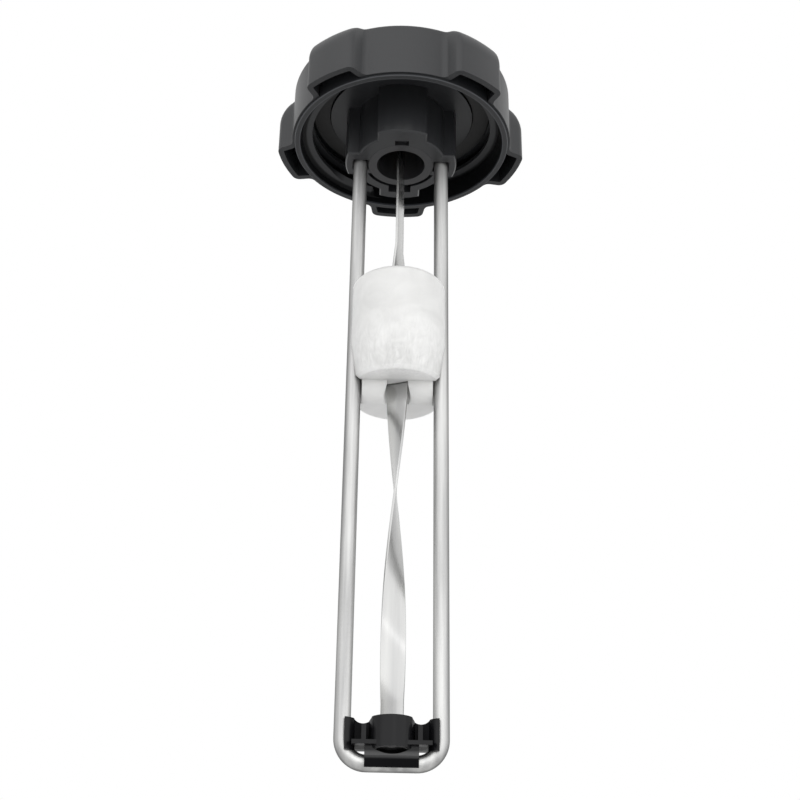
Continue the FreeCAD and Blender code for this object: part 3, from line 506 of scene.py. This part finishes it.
# Spindle, bush and lower pivot: the ribbon's two bearings. The brass spindle runs in
# a white bush in the tube's closed top, the plastic pivot in the foot's floor.
bush_white = plastic("bush_white", (0.62, 0.62, 0.58), (0.70, 0.70, 0.66), 0.4, 0.5, 0.1)
eased(dressed("spindle_bush", "spindle_bush_turned", "gauge_cap", bush_white), 0.1)
brass = metal("turned_brass", (0.55, 0.38, 0.15), (0.68, 0.50, 0.22), 0.3)
eased(dressed("spindle", "spindle_turned", "ribbon_body", brass), 0.12)
pivot_dark = plastic("pivot_dark", (0.05, 0.05, 0.05), (0.07, 0.07, 0.07), 0.35, 0.5, 0.1)
eased(dressed("lower_pivot", "lower_pivot_moulding", "ribbon_body", pivot_dark), 0.1)

# Twisted ribbon: bright rolled steel strip, held straight at both ends and given one
# long even twist between; the float turns it as it rides up and down.
ribbon_bright = metal("ribbon_bright", (0.40, 0.40, 0.40), (0.54, 0.54, 0.53), 0.25, (1, 1, 0.03), cloud=200)
HALF_WIDTH = 3.7
HALF_THICK = 0.4
STRIP_ROUNDING = 0.15
STRIP_END = -219.75
TWIST_LOW = -209.5
EDGE_ON = -143.5
TWIST_HIGH = -55.0
STRIP_TOP = -0.5
TWIST_RATE = 1.84
TWIST_PARTS = 300
low_turn = math.radians(-90 + TWIST_RATE * (TWIST_LOW - EDGE_ON))
strip = bmesh.new()
corners = bmesh.ops.create_grid(strip, x_segments=1, y_segments=1, size=1)["verts"]
bmesh.ops.scale(strip, vec=(HALF_WIDTH, HALF_THICK, 1), verts=corners)
bmesh.ops.bevel(strip, geom=corners, offset=STRIP_ROUNDING, segments=3, profile=0.5, affect="VERTICES",
                material=-1)
bmesh.ops.rotate(strip, cent=(0, 0, 0), matrix=Matrix.Rotation(low_turn, 3, "Z"), verts=strip.verts)
bmesh.ops.translate(strip, vec=(0, 0, STRIP_END), verts=strip.verts)
made = bmesh.ops.extrude_face_region(strip, geom=list(strip.faces), use_keep_orig=True)["geom"]
bmesh.ops.translate(strip, vec=(0, 0, TWIST_LOW - STRIP_END), verts=only(BMVert, made))
twist = math.radians(TWIST_RATE * (TWIST_HIGH - TWIST_LOW))
made = bmesh.ops.spin(strip, geom=only(BMFace, made), cent=(0, 0, 0), axis=(0, 0, 1),
                      dvec=(0, 0, (TWIST_HIGH - TWIST_LOW) / TWIST_PARTS), angle=twist,
                      steps=TWIST_PARTS)["geom_last"]
made = bmesh.ops.extrude_face_region(strip, geom=only(BMFace, made))["geom"]
bmesh.ops.translate(strip, vec=(0, 0, STRIP_TOP - TWIST_HIGH), verts=only(BMVert, made))
bmesh.ops.remove_doubles(strip, verts=strip.verts, dist=WELD)
within = [face for face in strip.faces
          if len(face.verts) > 4 and STRIP_END + 1 < face.calc_center_median().z < STRIP_TOP - 1]
bmesh.ops.delete(strip, geom=within, context="FACES_ONLY")
bmesh.ops.recalc_face_normals(strip, faces=strip.faces)
finish(strip, "ribbon_strip", "ribbon_body", ribbon_bright, ["twisted_ribbon"], 50)

# Float: milky white moulding, wide in front and longer behind, grooved at both sides
# to slide on the wires, with a slotted plate inside that the ribbon runs through.
# Its lower front is marbled, its two soles carry painted light, and the face between them painted shade.
NOSE_TOP = -94.5
NOSE_END = -107.0
NOSE_FACE = -2.75
NOSE_SPREAD = 0.05
NOSE_FLATTENING = 0.18
MARBLE_MIDDLE = 0.46
float_white, tree, shader, where = blank("float_white")
parts = add(tree, "SeparateXYZ", {"Vector": where}).outputs


def fade(axis, start, end, level=1.0):
    """Goes from nothing to a level as the float's Y or Z passes from start to end, in mm."""
    return span(tree, parts[axis], start * MM, end * MM, 0.0, level)


milk = ramp(tree, noise(tree, where, 90, 5, 1.2), (0.35, (0.79, 0.79, 0.78)), (0.65, (0.87, 0.87, 0.86)))
flow = add(tree, "Mapping", {"Vector": where, "Scale": (1, 1, 0.4)}).outputs["Vector"]
swing = worked(tree, "SUBTRACT", noise(tree, flow, 330, 4, 2.5), MARBLE_MIDDLE)
low_front = worked(tree, "MULTIPLY", fade("Z", -86, -102, 0.34), fade("Y", -3, -8))
marbling = worked(tree, "MULTIPLY", swing, low_front)
# Painted light lifts both soles and painted shade darkens the rear face; only the marbling is the moulding's
# own.
painted_front_sole_light = worked(tree, "MULTIPLY", fade("Z", -105.5, -106.6, 0.12), fade("Y", -2.8, -4.2))
face_band = worked(tree, "MULTIPLY", fade("Y", -8, -3), fade("Y", 3, -1))
painted_rear_face_shade = worked(tree, "MULTIPLY", fade("Z", -100, -102, -0.11), face_band)
marbling_and_front_painted_light = worked(tree, "ADD", marbling, painted_front_sole_light)
painted_rear_light_and_shade = worked(tree, "ADD", painted_rear_face_shade, fade("Z", -108.8, -111.5, 0.12))
# The tone adds the marbling to the painted light and shade.
tone = worked(tree, "ADD", marbling_and_front_painted_light, painted_rear_light_and_shade)
feed(tree, shader, {
    "Base Color": add(tree, "VectorMath", {0: milk, 1: tone}, "ADD").outputs["Vector"],
    "Subsurface Weight": 0.5,
    "Subsurface Radius": (1.0, 1.0, 1.0),
    "Subsurface Scale": 0.004,
    "Roughness": 0.38,
    "Normal": relief(tree, noise(tree, where, 1600), 0.15, 0.0001)})
float_piece = dressed("float", "float_moulding", "float_body", float_white)
for vert in float_piece.data.vertices:
    x, y, z = vert.co / MM
    if y < NOSE_FACE - 0.01 and z < NOSE_TOP:
        part = (NOSE_TOP - z) / (NOSE_TOP - NOSE_END)
        vert.co.x *= 1 + NOSE_SPREAD * part
        vert.co.y = (NOSE_FACE + (y - NOSE_FACE) * (1 - NOSE_FLATTENING * part)) * MM
eased(float_piece, 0.3)

# Dial plate and pointer: a white disc on the cup's ledge, printed in black with nine
# ticks and E, 1/2 and F, and a red needle pressed on the spindle's tip.
dial_white = plastic("dial_white", (0.72, 0.72, 0.69), (0.78, 0.78, 0.75), 0.35, 1.0, 0.05)
eased(dressed("dial_plate", "dial_disc", "gauge_cap", dial_white), 0.06)
EMPTY = math.radians(185.7)
FULL = math.radians(-91.3)
TICKS = 9
TICK_REACH = 17.6
WORD_REACH = 11.6
PRINT_HEIGHT = 4.64
INK = 0.06
marks = bmesh.new()
for tick in range(TICKS):
    angle = EMPTY + (FULL - EMPTY) * tick / (TICKS - 1)
    length, width = (3.0, 0.8) if tick % 4 == 0 else (1.6, 0.5)
    bar = bmesh.ops.create_cube(marks, size=1)["verts"]
    bmesh.ops.scale(marks, vec=(length, width, INK), verts=bar)
    bmesh.ops.translate(marks, vec=(TICK_REACH - length / 2, 0, PRINT_HEIGHT), verts=bar)
    bmesh.ops.rotate(marks, cent=(0, 0, 0), matrix=Matrix.Rotation(angle, 3, "Z"), verts=bar)
for word, part, size in (("E", 0.0, 4.2), ("1/2", 0.5, 3.4), ("F", 1.0, 4.2)):
    angle = EMPTY + (FULL - EMPTY) * part
    letters = bpy.data.curves.new("letters", "FONT")
    letters.body = word
    letters.size = size
    letters.extrude = INK / 2
    letters.align_x = "CENTER"
    letters.align_y = "CENTER"
    holder = bpy.data.objects.new("letters", letters)
    scene.collection.objects.link(holder)
    bpy.context.view_layer.update()
    drawn = bpy.data.meshes.new_from_object(holder.evaluated_get(bpy.context.evaluated_depsgraph_get()))
    old = set(marks.verts)
    marks.from_mesh(drawn)
    place = (WORD_REACH * math.cos(angle), WORD_REACH * math.sin(angle), PRINT_HEIGHT)
    bmesh.ops.translate(marks, vec=place, verts=[vert for vert in marks.verts if vert not in old])
    bpy.data.objects.remove(holder)
    bpy.data.curves.remove(letters)
    bpy.data.meshes.remove(drawn)
bmesh.ops.remove_doubles(marks, verts=marks.verts, dist=WELD)
bmesh.ops.recalc_face_normals(marks, faces=marks.faces)
mark_black = plastic("mark_black", (0.012, 0.012, 0.012), (0.02, 0.02, 0.02), 0.45, 1.0, 0.05)
finish(marks, "dial_marks", "gauge_cap", mark_black)
pointer_red = plastic("pointer_red", (0.55, 0.03, 0.02), (0.62, 0.04, 0.03), 0.3, 1.0, 0.05)
eased(dressed("pointer", "pointer_needle", "ribbon_body", pointer_red), 0.08)

# Lens and seal: a clear moulded window over the dial, held down on a black rubber
# ring by the crown's lip.
eased(dressed("lens_seal", "lens_seal_ring", "gauge_cap", rubber_black), 0.15)
clear_plastic, tree, shader, where = blank("clear_plastic")
feed(tree, shader, {
    "Base Color": (0.97, 0.98, 0.98, 1),
    "Transmission Weight": 1.0,
    "IOR": 1.49,
    "Roughness": span(tree, noise(tree, where, 45), 0, 1, 0.02, 0.07)})
dressed("lens", "lens_window", "gauge_cap", clear_plastic)
